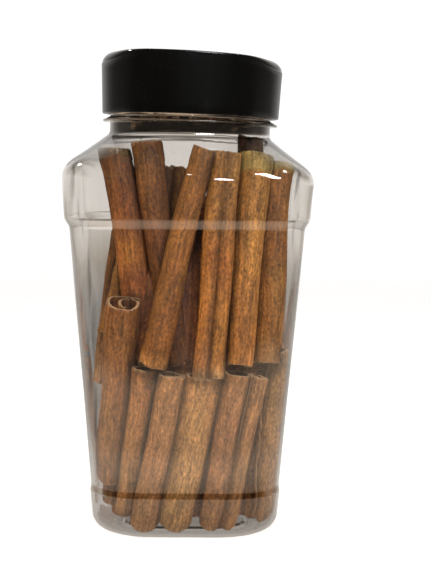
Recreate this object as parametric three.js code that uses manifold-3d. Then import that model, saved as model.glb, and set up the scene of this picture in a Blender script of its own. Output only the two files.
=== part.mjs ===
// A clear square jar packed with rolled cinnamon sticks and shut by a dark round cap.
// Millimetres, +Z up. The origin is the centre of the underside, and the jar's front faces -Y.

import * as THREE from 'three';
import { mergeVertices } from 'three/addons/utils/BufferGeometryUtils.js';
import Module from 'manifold-3d';

const wasm = await Module();
wasm.setup();

// ---- Driving dimensions ----

// The jar's body, as half widths across its flat sides. The tapered panels lie a little behind the
// heel below them and the band above them.
const FOOT_HALF = 33.5;
const HEEL_HEAD_HALF = 34.7;
const HEEL_HEAD_Z = 15.2;
const PANEL_FOOT_HALF = 34.4;
const PANEL_FOOT_Z = 17.4;
const PANEL_HEAD_HALF = 41.8;
const PANEL_HEAD_Z = 111.2;
const BAND_HALF = 43.5;
const BAND_FOOT_Z = 114.2;
const BAND_HEAD_HALF = 44.7;
const BAND_HEAD_Z = 131.5;
const FOOT_CORNER_RADIUS = 20;
const BAND_CORNER_RADIUS = 16.5;
const WALL = 1.0;

// The heel and the recess under the jar.
const HEEL_RADIUS = 7;
const UNDERSIDE_RECESS = 1.2;
const RECESS_HALF = 22;
const STANDING_RING_HALF = 23.5;

// The round neck, its flange and its mouth.
const NECK_RADIUS = 29.6;
const NECK_FOOT_Z = 144.0;
const FLANGE_RADIUS = 32.2;
const FLANGE_Z = 148.3;
const FLANGE_HEIGHT = 2.0;
const FLANGE_RIM_HEIGHT = 0.7;
const MOUTH_Z = 170.4;

// Above its panels the jar leans a little to the right, with its neck and its cap.
const HEAD_LEAN = 1.5 * Math.PI / 180;
const LEAN_PIVOT_Z = 121;

// The cap.
const CAP_FOOT_Z = 151.2;
const CAP_TOP_Z = 173.0;
const CAP_FOOT_RADIUS = 32.5;
const CAP_RADIUS = 33.3;
const RIM_WIDTH = 5.2;
const RIM_HEIGHT = 4.3;
const LID_SLOPE = 0.02;
const LIP_HALF_ANGLE = 34 * Math.PI / 180;
const CAP_CLEARANCE = 0.5;

// The sticks.
const BARK = 1.0;
const QUILL_SIDES = 10;
const HOLLOW_SIDES = 6;
const INSIDE_CLEARANCE = 0.4;
const LOWER_FOOT_Z = 3.0;
const LOWER_HEAD_Z = 60.0;
const UPPER_FOOT_Z = 61.0;
const UPPER_HEAD_Z = 120.0;

// How finely round things are divided.
const AROUND_QUARTER = 10;
const AROUND_BODY = 4 * AROUND_QUARTER;
const AROUND_CAP = 56;

// ---- Helpers ----

// A small repeatable source of numbers from 0 to 1.
function randomSource(seed) {
  let state = seed;
  return () => {
    state = (state * 16807) % 2147483647;
    return state / 2147483647;
  };
}

const lerp = THREE.MathUtils.lerp;

// Makes a solid of a closed geometry. Triangles that shrink to a line on the axis are dropped.
function solidOf(geometry) {
  const bare = new THREE.BufferGeometry();
  bare.setAttribute('position', geometry.getAttribute('position'));
  bare.setIndex(geometry.getIndex());
  const merged = mergeVertices(bare, 1e-4);
  const index = merged.getIndex().array;
  const kept = [];
  for (let i = 0; i < index.length; i += 3) {
    const [a, b, c] = [index[i], index[i + 1], index[i + 2]];
    if (a !== b && b !== c && c !== a) kept.push(a, b, c);
  }
  const mesh = new wasm.Mesh({
    numProp: 3,
    vertProperties: new Float32Array(merged.getAttribute('position').array),
    triVerts: new Uint32Array(kept),
  });
  mesh.merge();
  return new wasm.Manifold(mesh);
}

function geometryOf(positions, triangles) {
  const geometry = new THREE.BufferGeometry();
  geometry.setAttribute('position', new THREE.BufferAttribute(new Float32Array(positions), 3));
  geometry.setIndex(triangles);
  return geometry;
}

// The geometry of a solid's outside. A sealed hollow is filled and a loose scrap is dropped.
function geometryOfSolid(solid) {
  const { vertProperties, triVerts } = solid.getMesh();
  const leader = Array.from({ length: vertProperties.length / 3 }, (_, i) => i);
  const leaderOf = (i) => {
    let top = i;
    while (leader[top] !== top) top = leader[top];
    leader[i] = top;
    return top;
  };
  for (let i = 0; i < triVerts.length; i += 3) {
    leader[leaderOf(triVerts[i + 1])] = leaderOf(triVerts[i]);
    leader[leaderOf(triVerts[i + 2])] = leaderOf(triVerts[i]);
  }
  const shells = new Map();
  for (let i = 0; i < triVerts.length; i += 3) {
    const shell = leaderOf(triVerts[i]);
    if (!shells.has(shell)) shells.set(shell, []);
    shells.get(shell).push(triVerts[i], triVerts[i + 1], triVerts[i + 2]);
  }
  const [outside] = [...shells.values()].sort((a, b) => b.length - a.length);
  return geometryOf(vertProperties, outside);
}

// Moves every vertex of a geometry with a function of its place.
function reshape(geometry, move) {
  const position = geometry.getAttribute('position');
  const point = new THREE.Vector3();
  for (let i = 0; i < position.count; i += 1) {
    point.fromBufferAttribute(position, i);
    move(point);
    position.setXYZ(i, point.x, point.y, point.z);
  }
  return geometry;
}

// Leans whatever lies above the panels over to the right, more and more up to the band's head.
function leanOver(geometry) {
  return reshape(geometry, (point) => {
    const lean = HEAD_LEAN * THREE.MathUtils.smoothstep(point.z, BAND_FOOT_Z, BAND_HEAD_Z);
    const across = point.x;
    const above = point.z - LEAN_PIVOT_Z;
    point.x = across * Math.cos(lean) + above * Math.sin(lean);
    point.z = LEAN_PIVOT_Z - across * Math.sin(lean) + above * Math.cos(lean);
  });
}

// Turns an outline of (radius, height) points about +Z.
function turned(outline, segments) {
  const points = outline.map(([radius, z]) => new THREE.Vector2(radius, z));
  return new THREE.LatheGeometry(points, segments).rotateX(Math.PI / 2);
}

// Replaces each corner [x, z, fillet, steps] of an outline that has a fillet by an arc.
function filleted(corners) {
  const outline = [];
  corners.forEach(([x, z, fillet = 0, steps = 3], i) => {
    if (fillet <= 0) {
      outline.push([x, z]);
      return;
    }
    const corner = new THREE.Vector2(x, z);
    const before = new THREE.Vector2(...corners[i - 1].slice(0, 2)).sub(corner).normalize();
    const after = new THREE.Vector2(...corners[i + 1].slice(0, 2)).sub(corner).normalize();
    const half = Math.acos(THREE.MathUtils.clamp(before.dot(after), -1, 1)) / 2;
    const centre = before.clone().add(after).normalize().multiplyScalar(fillet / Math.sin(half)).add(corner);
    const start = before.clone().multiplyScalar(fillet / Math.tan(half)).add(corner).sub(centre);
    const end = after.clone().multiplyScalar(fillet / Math.tan(half)).add(corner).sub(centre);
    const turn = Math.atan2(start.cross(end), start.dot(end));
    for (let k = 0; k <= steps; k += 1) {
      const spoke = start.clone().rotateAround(new THREE.Vector2(), turn * k / steps);
      outline.push([centre.x + spoke.x, centre.y + spoke.y]);
    }
  });
  return outline;
}

// Moves the corners of an outline sideways by a distance, to its left, and fits the fillets to that.
function offset(corners, distance) {
  return corners.map(([x, z, fillet = 0, steps], i) => {
    const here = new THREE.Vector2(x, z);
    const sideOf = (from, to) => {
      const along = new THREE.Vector2(...to).sub(new THREE.Vector2(...from)).normalize();
      return new THREE.Vector2(-along.y, along.x);
    };
    const ends = [corners[i - 1], corners[i], corners[i + 1]].map((c) => c && c.slice(0, 2));
    const first = sideOf(ends[0] ?? ends[1], ends[0] ? ends[1] : ends[2]);
    const last = sideOf(ends[2] ? ends[1] : ends[0], ends[2] ?? ends[1]);
    const middle = first.clone().add(last).normalize();
    here.add(middle.multiplyScalar(distance / middle.dot(first)));
    const bend = first.cross(last);
    const newFillet = fillet > 0 ? Math.max(fillet - Math.sign(bend) * distance, 0.6) : 0;
    return [here.x, here.y, newFillet, steps];
  });
}

// ---- The jar's form: square below, round at the neck ----

// 0 where the body is square and 1 where the neck is round.
function neckShare(z) {
  return THREE.MathUtils.smoothstep(z, BAND_HEAD_Z - 2, NECK_FOOT_Z + 0.5);
}

// Moves a turned body's vertices from their circle to a square with round corners.
function squareUp(geometry) {
  return reshape(geometry, (point) => {
    const radius = Math.hypot(point.x, point.y);
    if (radius < 1e-6) return;
    const step = Math.round(Math.atan2(point.y, point.x) / (2 * Math.PI) * AROUND_BODY);
    const place = (step + AROUND_BODY) % AROUND_BODY;
    const quarter = Math.floor(place / AROUND_QUARTER);
    const inQuarter = place % AROUND_QUARTER;
    const share = neckShare(point.z);
    const bodyShare = Math.min(point.z / BAND_FOOT_Z, 1);
    const bodyHalf = lerp(FOOT_HALF, BAND_HALF, bodyShare);
    const cornerRadius = lerp(FOOT_CORNER_RADIUS, BAND_CORNER_RADIUS, bodyShare);
    const corner = lerp(cornerRadius / bodyHalf, 1, share) * radius;
    const angle = inQuarter === 0 ? 0 : Math.PI / 2 * lerp(
      (inQuarter - 1) / (AROUND_QUARTER - 2),
      inQuarter / AROUND_QUARTER,
      share,
    );
    const local = inQuarter === 0
      ? new THREE.Vector2(radius, 0)
      : new THREE.Vector2(
        radius - corner + corner * Math.cos(angle),
        radius - corner + corner * Math.sin(angle),
      );
    local.rotateAround(new THREE.Vector2(), quarter * Math.PI / 2);
    point.x = local.x;
    point.y = local.y;
  });
}

// The corners of the body's outline from its standing ring up to the foot of its neck.
function bodyCorners() {
  return [
    [FOOT_HALF, 0, HEEL_RADIUS, 4],
    [HEEL_HEAD_HALF, HEEL_HEAD_Z],
    [PANEL_FOOT_HALF, PANEL_FOOT_Z],
    [PANEL_HEAD_HALF, PANEL_HEAD_Z, 2, 1],
    [BAND_HALF, BAND_FOOT_Z, 2, 1],
    [BAND_HEAD_HALF, BAND_HEAD_Z, 9, 4],
    [NECK_RADIUS, NECK_FOOT_Z, 2.5, 2],
  ];
}

// The body's inner outline, a distance inside its outer one, from the floor's centre to a height
// in the neck.
function innerCorners(distance, topZ) {
  const outer = [[0, 0], ...bodyCorners(), [NECK_RADIUS, topZ]];
  const inner = offset(outer, distance);
  const floor = UNDERSIDE_RECESS + distance;
  inner[0] = [0, floor];
  inner.splice(1, 0, [RECESS_HALF, floor], [STANDING_RING_HALF, distance]);
  inner[inner.length - 1] = [inner[inner.length - 1][0], topZ];
  return inner;
}

function jarBody() {
  const outer = filleted([
    [0, UNDERSIDE_RECESS],
    [RECESS_HALF, UNDERSIDE_RECESS],
    [STANDING_RING_HALF, 0],
    ...bodyCorners(),
    [NECK_RADIUS, MOUTH_Z],
  ]);
  const inner = filleted(innerCorners(WALL, MOUTH_Z));
  return solidOf(squareUp(turned([...outer, ...inner.reverse()], AROUND_BODY)));
}

function jarFlange() {
  const inside = NECK_RADIUS - WALL / 2;
  const ring = [
    [inside, FLANGE_Z],
    [FLANGE_RADIUS, FLANGE_Z],
    [FLANGE_RADIUS, FLANGE_Z + FLANGE_RIM_HEIGHT],
    [NECK_RADIUS, FLANGE_Z + FLANGE_HEIGHT],
    [inside, FLANGE_Z + FLANGE_HEIGHT],
    [inside, FLANGE_Z],
  ];
  return solidOf(turned(ring, AROUND_BODY));
}

function makeJar() {
  return jarBody().add(jarFlange());
}

// ---- The cap ----

// The cap's form without its bore, with a rim that is either rounded off or left square as at the
// lip. Its top slopes down a little to the right.
function capForm(rimWidth, rimHeight, rimSteps) {
  const outline = [[0, CAP_FOOT_Z], [CAP_FOOT_RADIUS, CAP_FOOT_Z]];
  for (let k = 0; k <= rimSteps; k += 1) {
    const angle = Math.PI / 2 * k / rimSteps;
    outline.push([
      CAP_RADIUS - rimWidth * (1 - Math.cos(angle)),
      CAP_TOP_Z - rimHeight * (1 - Math.sin(angle)),
    ]);
  }
  outline.push([0, CAP_TOP_Z]);
  const form = reshape(turned(outline, AROUND_CAP), (point) => {
    point.z -= LID_SLOPE * point.x * (point.z - CAP_FOOT_Z) / (CAP_TOP_Z - CAP_FOOT_Z);
  });
  return solidOf(form);
}

// A wedge that holds the part of the cap's front where the wall runs up to the top.
function lipWedge() {
  const reach = CAP_RADIUS + 5;
  const wedge = new THREE.Shape();
  wedge.moveTo(0, 0);
  wedge.lineTo(-reach * Math.tan(LIP_HALF_ANGLE), -reach);
  wedge.lineTo(reach * Math.tan(LIP_HALF_ANGLE), -reach);
  wedge.closePath();
  const geometry = new THREE.ExtrudeGeometry(wedge, { depth: RIM_HEIGHT + 2, bevelEnabled: false });
  return solidOf(geometry.translate(0, 0, CAP_TOP_Z - RIM_HEIGHT - 1));
}

// The room in the cap for the neck.
function capBore() {
  const radius = NECK_RADIUS + CAP_CLEARANCE;
  const top = MOUTH_Z + CAP_CLEARANCE;
  const outline = [[0, CAP_FOOT_Z - 1], [radius, CAP_FOOT_Z - 1], [radius, top], [0, top]];
  return solidOf(turned(outline, AROUND_CAP));
}

function makeCap() {
  const rounded = capForm(RIM_WIDTH, RIM_HEIGHT, 5);
  const lipped = capForm(0.5, 0.5, 1);
  return rounded.add(lipped.intersect(lipWedge())).subtract(capBore());
}

// ---- The cinnamon sticks ----

// A closed outline whose radius goes evenly from one value to another in a full turn.
function spiral(outline, sides, from, to, centreX, direction) {
  for (let k = 0; k <= sides; k += 1) {
    const angle = direction * 2 * Math.PI * k / sides;
    const radius = lerp(from, to, k / sides);
    const place = [centreX + radius * Math.cos(angle), radius * Math.sin(angle)];
    if (k === 0) outline.moveTo(...place);
    else if (k < sides || from !== to) outline.lineTo(...place);
  }
  outline.closePath();
  return outline;
}

// The section of a rolled strip of bark. It grows by one bark thickness in a full turn, which
// leaves a step along the stick, and its hollow lies off its centre.
function quillShape(radius) {
  const shape = spiral(new THREE.Shape(), QUILL_SIDES, radius - BARK / 2, radius + BARK / 2, 0, 1);
  const hollow = radius - 1.8 * BARK;
  shape.holes.push(spiral(new THREE.Path(), HOLLOW_SIDES, hollow, hollow, -0.3 * BARK, -1));
  return shape;
}

// One stick from its foot to its head. radii are those of the foot and the head, turn is where its
// step lies, bow is how far its middle stands sideways, and slant is how far its ends are cut askew.
function quill({ foot, head, radii, turn = 0, bow = 0, slant = 0.3 }) {
  const [start, end] = [new THREE.Vector3(...foot), new THREE.Vector3(...head)];
  const length = start.distanceTo(end);
  const middleRadius = (radii[0] + radii[1]) / 2;
  const geometry = new THREE.ExtrudeGeometry(quillShape(middleRadius), {
    depth: 1,
    steps: Math.abs(bow) < 0.6 ? 1 : 2,
    bevelEnabled: false,
  });
  reshape(geometry, (point) => {
    const along = point.z;
    const swell = lerp(radii[0], radii[1], along) / middleRadius;
    point.x *= swell;
    point.y *= swell;
    point.z = length * along + slant * point.x * (2 * along - 1);
    point.applyAxisAngle(new THREE.Vector3(0, 0, 1), turn);
    point.x += bow * Math.sin(Math.PI * along);
  });
  const upright = new THREE.Vector3(0, 0, 1);
  const lean = new THREE.Quaternion().setFromUnitVectors(upright, end.clone().sub(start).normalize());
  geometry.applyQuaternion(lean);
  geometry.translate(start.x, start.y, start.z);
  return solidOf(geometry);
}

// The sticks against the jar's front, each placed by hand.
const FRONT_QUILLS = [
  // The upper tier, from the left.
  { foot: [-21.7, -17.8, 64.0], head: [-27.5, -16.5, 138.0], radii: [5.4, 5.6], bow: 3.6, turn: 2.2 },
  { foot: [-28.7, -14.0, 71.5], head: [-15.3, -8.5, 126.0], radii: [4.4, 4.4], turn: 4.2 },
  { foot: [-32.2, -5.5, 52.5], head: [-24.2, -7.0, 112.0], radii: [3.9, 4.2], turn: 4.6 },
  { foot: [-3.1, -22.0, 61.5], head: [-15.8, -18.5, 140.8], radii: [4.8, 5.5], turn: 5.0 },
  { foot: [-16.5, -14.5, 64.0], head: [-9.6, -14.5, 133.2], radii: [4.0, 4.0], turn: 2.0 },
  { foot: [-3.0, -12.5, 68.0], head: [-2.1, -11.5, 133.0], radii: [4.6, 4.0], turn: 1.0 },
  { foot: [-12.5, -33.0, 61.6], head: [5.0, -25.0, 138.8], radii: [5.2, 4.1], turn: 3.6 },
  { foot: [4.9, -33.0, 58.1], head: [11.1, -24.5, 138.0], radii: [2.9, 3.6], turn: 2.6, slant: 0.1 },
  { foot: [10.5, -33.0, 58.2], head: [14.8, -24.0, 137.5], radii: [3.2, 3.7], turn: 0.6, slant: 0.1 },
  { foot: [18.1, -31.0, 62.7], head: [24.0, -15.5, 137.5], radii: [4.7, 6.0], bow: 0.4, turn: 4.4 },
  { foot: [28.9, -27.0, 62.5], head: [33.1, -9.0, 134.5], radii: [5.1, 5.1], turn: 5.4 },
  { foot: [19.5, -4.5, 84.0], head: [22.4, -3.0, 144.2], radii: [4.7, 4.7], turn: 2.8 },
  // The lower tier, from the left.
  { foot: [-26.9, -14.5, 9.5], head: [-25.0, -13.5, 50.0], radii: [4.0, 4.2], turn: 1.2 },
  { foot: [-27.1, -22.3, 19.0], head: [-22.1, -28.5, 84.5], radii: [5.1, 6.1], turn: 3.4, slant: 0.1 },
  { foot: [-22.1, -24.0, 8.0], head: [-15.2, -30.5, 61.5], radii: [3.4, 4.2], turn: 5.2 },
  { foot: [-15.4, -25.6, 3.2], head: [-4.9, -31.0, 59.3], radii: [5.1, 4.9], turn: 4.0 },
  { foot: [-4.5, -24.7, 3.2], head: [6.5, -30.0, 59.0], radii: [6.0, 6.6], turn: 3.9 },
  { foot: [9.2, -26.0, 3.2], head: [18.2, -30.5, 60.0], radii: [4.5, 5.2], turn: 5.6 },
  { foot: [14.6, -26.5, 3.2], head: [25.4, -29.0, 58.8], radii: [2.8, 3.3], turn: 2.9 },
  { foot: [27.4, -18.0, 3.4], head: [31.5, -20.6, 66.0], radii: [4.9, 5.2], turn: 3.3 },
];

// A row of sticks side by side. from and to are the first and last stick's feet, gather is how far
// the row draws in towards its heads, and lean is how far the heads lean along the row together.
function row({ from, to, count, footZ, headZ, gather, lean, random }) {
  const start = new THREE.Vector2(...from);
  const end = new THREE.Vector2(...to);
  const along = end.clone().sub(start).normalize();
  const pitch = start.distanceTo(end) / (count - 1);
  return Array.from({ length: count }, (_, k) => {
    const foot = start.clone().lerp(end, k / (count - 1));
    const head = foot.clone().multiplyScalar(gather).addScaledVector(along, lean + 2 * random() - 1);
    const lift = 6 * random() - 3;
    return {
      foot: [foot.x, foot.y, footZ + Math.max(lift, 0)],
      head: [head.x, head.y, headZ + lift],
      radii: [
        Math.min(pitch * (0.46 + 0.06 * random()), 5.6),
        Math.min(pitch * gather * (0.46 + 0.06 * random()), 5.4),
      ],
      turn: 2 * Math.PI * random(),
      bow: 1.6 * random() - 0.8,
      slant: 0.5 * random() - 0.25,
    };
  });
}

// The sticks along the right, the back and the left, and those between them in the middle.
function otherQuills() {
  const random = randomSource(20261);
  const lower = { footZ: LOWER_FOOT_Z, headZ: LOWER_HEAD_Z, gather: 1.12, random };
  const upper = { footZ: UPPER_FOOT_Z, headZ: UPPER_HEAD_Z, gather: 0.76, random };
  return [
    ...row({ from: [25.9, -6.5], to: [25.9, 16.8], count: 3, lean: 2.5, ...lower }),
    ...row({ from: [20.5, 25.8], to: [-20.0, 25.8], count: 5, lean: 2.0, ...lower }),
    ...row({ from: [-24.5, 17.6], to: [-22.0, -4.0], count: 3, lean: -1.5, ...lower }),
    ...row({ from: [31.0, -13.5], to: [31.0, 20.0], count: 4, lean: 4.0, ...upper }),
    ...row({ from: [25.0, 31.0], to: [-22.0, 31.0], count: 5, lean: -3.0, ...upper }),
    ...row({ from: [-27.5, 22.0], to: [-27.5, 6.0], count: 2, lean: -2.0, ...upper }),
    ...row({ from: [-13.0, -5.0], to: [6.0, -4.0], count: 2, lean: 1.0, ...upper }),
    ...row({ from: [-12.0, 12.0], to: [16.0, 12.0], count: 3, lean: -1.0, ...upper }),
  ];
}

// The middle of the pack, which the sticks stand round and join.
function heapCore() {
  const outline = filleted([
    [0, 5.0],
    [24.0, 5.0],
    [28.0, LOWER_HEAD_Z],
    [29.5, UPPER_FOOT_Z],
    [24.0, 96.0],
    [15.0, 110.0],
    [0, 110.0],
  ]);
  return solidOf(squareUp(turned(outline, AROUND_BODY)).translate(1.5, 0, 0));
}

// The room inside the jar, a little clear of its walls.
function insideOfJar() {
  const corners = innerCorners(WALL + INSIDE_CLEARANCE, MOUTH_Z - 5);
  const outline = [...filleted(corners), [0, MOUTH_Z - 5]];
  return solidOf(squareUp(turned(outline, AROUND_BODY)));
}

function makeSticks() {
  const quills = [...FRONT_QUILLS, ...otherQuills()];
  const heap = quills.reduce((joined, one) => joined.add(quill(one)), heapCore());
  return heap.intersect(insideOfJar());
}

// ---- Materials and the object ----

const clearPlastic = new THREE.MeshStandardMaterial({
  color: 0xe9e6e1,
  roughness: 0.06,
  metalness: 0,
  transparent: true,
  opacity: 0.25,
});
const blackPlastic = new THREE.MeshStandardMaterial({ color: 0x1d1c1c, roughness: 0.5, metalness: 0 });
const cinnamonBark = new THREE.MeshStandardMaterial({ color: 0x8f5e37, roughness: 0.85, metalness: 0 });

const group = new THREE.Group();

function addPiece(name, solid, material) {
  const geometry = leanOver(geometryOfSolid(solid));
  geometry.computeVertexNormals();
  const mesh = new THREE.Mesh(geometry, material);
  mesh.name = name;
  group.add(mesh);
}

addPiece('jar', makeJar(), clearPlastic);
addPiece('cap', makeCap(), blackPlastic);
addPiece('cinnamon_sticks', makeSticks(), cinnamonBark);

export default group;
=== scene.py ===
import math

import bpy
import numpy as np
from mathutils import Matrix, Vector


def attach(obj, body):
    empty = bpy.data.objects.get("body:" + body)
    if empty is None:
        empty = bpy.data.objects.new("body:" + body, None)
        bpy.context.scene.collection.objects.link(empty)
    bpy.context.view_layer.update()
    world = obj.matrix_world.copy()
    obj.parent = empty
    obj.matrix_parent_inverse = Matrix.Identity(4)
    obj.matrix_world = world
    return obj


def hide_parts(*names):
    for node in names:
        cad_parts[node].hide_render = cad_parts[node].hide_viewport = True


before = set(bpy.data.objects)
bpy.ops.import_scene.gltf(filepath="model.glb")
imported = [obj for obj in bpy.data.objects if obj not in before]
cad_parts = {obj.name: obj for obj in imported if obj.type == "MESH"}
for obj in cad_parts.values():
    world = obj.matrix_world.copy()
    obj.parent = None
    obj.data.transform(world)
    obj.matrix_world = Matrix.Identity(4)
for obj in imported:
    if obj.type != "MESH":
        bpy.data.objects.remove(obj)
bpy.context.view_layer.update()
scene = bpy.context.scene

MM = 0.001
TAU = 2 * math.pi

# ---------------- Sizes in millimetres: those of the solids ----------------

WALL = 1.0
FOOT_CORNER = 20.0
BAND_CORNER = 16.5
RECESS_RADIUS = 22.0
RECESS_Z = 1.2
RING_RADIUS = 23.5
FOOT_HALF = 33.5
HEEL_HALF, HEEL_Z = 34.7, 15.2
PANEL_FOOT_HALF, PANEL_FOOT_Z = 34.4, 17.4
PANEL_HEAD_HALF, PANEL_HEAD_Z = 41.8, 111.2
BAND_HALF = 43.5
# The solids have 44.7 here. The finer fillet of this mesh reaches a little further out.
BAND_HEAD_HALF = 44.65
BAND_FOOT_Z = 114.2
BAND_HEAD_Z = 131.5
NECK_RADIUS = 29.6
NECK_FOOT_Z = 144.0
FLANGE_RADIUS = 32.2
FLANGE_Z = 148.3
MOUTH_Z = 170.4
BARK = 1.0
HEAD_LEAN = math.radians(1.5)
LEAN_PIVOT_Z = 121.0

# The body's outline: half width, height, fillet and the steps of the fillet.
BODY = [
    (FOOT_HALF, 0.0, 7.0, 12),
    (HEEL_HALF, HEEL_Z, 0.9, 4),
    (PANEL_FOOT_HALF, PANEL_FOOT_Z, 0.9, 4),
    (PANEL_HEAD_HALF, PANEL_HEAD_Z, 2.0, 8),
    (BAND_HALF, BAND_FOOT_Z, 2.0, 8),
    (BAND_HEAD_HALF, BAND_HEAD_Z, 9.0, 16),
    (NECK_RADIUS, NECK_FOOT_Z, 2.5, 8),
]


def add_object(name, data):
    made = bpy.data.objects.new(name, data)
    scene.collection.objects.link(made)
    return made


# ---------------- Camera ----------------

# The photo's view: where the camera stands in metres, how far in degrees it looks to the right and
# down and is rolled, and its focal length in heights of the picture.
CAMERA_PLACE = (0, -0.55, 0.13166)
CAMERA_RIGHT, CAMERA_DOWN, CAMERA_ROLL = 1.117, 4.622, 0.6
FOCAL_LENGTH = 1478 / 579


def make_camera():
    data = bpy.data.cameras.new("camera")
    data.sensor_fit = "VERTICAL"
    data.sensor_height = 24
    data.lens = FOCAL_LENGTH * data.sensor_height
    data.clip_start = 0.01
    data.clip_end = 20
    stance = Matrix.Translation(CAMERA_PLACE)
    for angle, axis in ((-CAMERA_RIGHT, "Z"), (90 - CAMERA_DOWN, "X"), (CAMERA_ROLL, "Z")):
        stance = stance @ Matrix.Rotation(math.radians(angle), 4, axis)
    scene.camera = add_object("camera", data)
    scene.camera.matrix_world = stance


# ---------------- Meshes ----------------

class Builder:
    """Gathers vertices in millimetres, four-sided faces and values at the vertices."""

    def __init__(self):
        self.points = []
        self.faces = []
        self.values = {}
        self.count = 0

    def add(self, points, faces, **values):
        points = np.asarray(points, float).reshape(-1, 3)
        self.points.append(points)
        self.faces.append(np.asarray(faces, np.int64).reshape(-1, 4) + self.count)
        for name, value in values.items():
            self.values.setdefault(name, []).append(np.asarray(value, float))
        self.count += len(points)

    def object(self, name, material):
        points = np.concatenate(self.points) * MM
        faces = np.concatenate(self.faces)
        three = faces[:, 3] == faces[:, 0]
        sizes = np.where(three, 3, 4)
        loops = faces[np.arange(4)[None, :] < sizes[:, None]]
        mesh = bpy.data.meshes.new(name)
        mesh.vertices.add(len(points))
        mesh.vertices.foreach_set("co", points.astype(np.float32).ravel())
        mesh.loops.add(len(loops))
        mesh.loops.foreach_set("vertex_index", loops.astype(np.int32))
        mesh.polygons.add(len(faces))
        starts = np.concatenate([[0], np.cumsum(sizes)[:-1]])
        mesh.polygons.foreach_set("loop_start", starts.astype(np.int32))
        mesh.update(calc_edges=True)
        mesh.validate()
        mesh.shade_smooth()
        for key, parts in self.values.items():
            data = np.concatenate(parts)
            kind, field = ("FLOAT", "value") if data.ndim == 1 else ("FLOAT_VECTOR", "vector")
            if key == "hue":
                kind, field = "FLOAT_COLOR", "color"
                data = np.hstack([data, np.ones((len(data), 1))])
            layer = mesh.attributes.new(key, kind, "POINT")
            layer.data.foreach_set(field, data.astype(np.float32).ravel())
        mesh.materials.append(material)
        return add_object(name, mesh)


def grid_faces(rows, columns, closed=False):
    """Faces of a grid of points, outward where rows go up and columns go round from +X to +Y."""
    across = columns if closed else columns - 1
    i, j = np.meshgrid(np.arange(rows - 1), np.arange(across), indexing="ij")
    k = (j + 1) % columns
    faces = [i * columns + j, i * columns + k, (i + 1) * columns + k, (i + 1) * columns + j]
    return np.stack(faces, axis=-1).reshape(-1, 4)


def smoothstep(x, low, high):
    t = np.clip((np.asarray(x, float) - low) / (high - low), 0, 1)
    return t * t * (3 - 2 * t)


def lean_over(mesh):
    """Leans whatever lies above the panels over to the right, more and more up to the band's head."""
    flat = np.empty(len(mesh.vertices) * 3, np.float32)
    mesh.vertices.foreach_get("co", flat)
    points = flat.reshape(-1, 3).astype(float) / MM
    lean = HEAD_LEAN * smoothstep(points[:, 2], BAND_FOOT_Z, BAND_HEAD_Z)
    across, above = points[:, 0].copy(), points[:, 2] - LEAN_PIVOT_Z
    points[:, 0] = across * np.cos(lean) + above * np.sin(lean)
    points[:, 2] = LEAN_PIVOT_Z - across * np.sin(lean) + above * np.cos(lean)
    mesh.vertices.foreach_set("co", (points * MM).astype(np.float32).ravel())
    mesh.update()


def piece(made, node):
    """Leans a finished piece and states what it rides on and which solid it replaces."""
    lean_over(made.data)
    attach(made, "root")
    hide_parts(node)


# ---------------- Outlines ----------------

def filleted(corners):
    """Replaces each corner (x, z, fillet, steps) that has a fillet by an arc."""
    outline = []
    for i, corner in enumerate(corners):
        x, z, fillet, steps = (*corner, 0, 0)[:4]
        if fillet <= 0:
            outline.append((x, z))
            continue
        here = Vector((x, z))
        before = (Vector(corners[i - 1][:2]) - here).normalized()
        after = (Vector(corners[i + 1][:2]) - here).normalized()
        half = before.angle(after) / 2
        centre = here + (before + after).normalized() * (fillet / math.sin(half))
        start = here + before * (fillet / math.tan(half)) - centre
        end = here + after * (fillet / math.tan(half)) - centre
        turn = math.atan2(start.x * end.y - start.y * end.x, start.dot(end))
        for k in range(steps + 1):
            a = turn * k / steps
            spoke = (
                start.x * math.cos(a) - start.y * math.sin(a),
                start.x * math.sin(a) + start.y * math.cos(a),
            )
            outline.append((centre.x + spoke[0], centre.y + spoke[1]))
    return outline


def offset(corners, distance):
    """Moves the corners of an outline to its left by a distance, and fits the fillets to that."""
    moved = []
    last = len(corners) - 1
    for i, corner in enumerate(corners):
        x, z, fillet, steps = (*corner, 0, 0)[:4]
        sides = []
        for a, b in ((i - 1, i), (i, i + 1)):
            if a < 0 or b > last:
                continue
            along = (Vector(corners[b][:2]) - Vector(corners[a][:2])).normalized()
            sides.append(Vector((-along.y, along.x)))
        first, second = sides[0], sides[-1]
        middle = (first + second).normalized()
        there = Vector((x, z)) + middle * (distance / middle.dot(first))
        bend = first.x * second.y - first.y * second.x
        fillet = max(fillet - math.copysign(distance, bend), 0.5) if fillet > 0 else 0
        moved.append((there.x, there.y, fillet, steps))
    return moved


def divided(outline, longest):
    """Divides an outline's long sides, with points close to their ends that hold them flat."""
    fine = [outline[0]]
    for (x0, z0), (x1, z1) in zip(outline[:-1], outline[1:]):
        length = math.hypot(x1 - x0, z1 - z0)
        parts = max(1, math.ceil(length / longest))
        shares = [k / parts for k in range(1, parts + 1)]
        if length > 1.0:
            shares = [0.1 / length, *shares[:-1], 1 - 0.1 / length, 1.0]
        fine += [(x0 + (x1 - x0) * share, z0 + (z1 - z0) * share) for share in shares]
    return fine


# ---------------- The jar's form: square below, round at the neck ----------------

def corner_share(z):
    """The corner radius as a share of the half width, which is 1 where the jar is round."""
    share = smoothstep(z, BAND_HEAD_Z - 2, NECK_FOOT_Z + 0.5)
    up = np.clip(np.asarray(z) / BAND_FOOT_Z, 0, 1)
    corner = FOOT_CORNER + (BAND_CORNER - FOOT_CORNER) * up
    square = corner / (FOOT_HALF + (BAND_HALF - FOOT_HALF) * up)
    return square + (1 - square) * share


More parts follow.
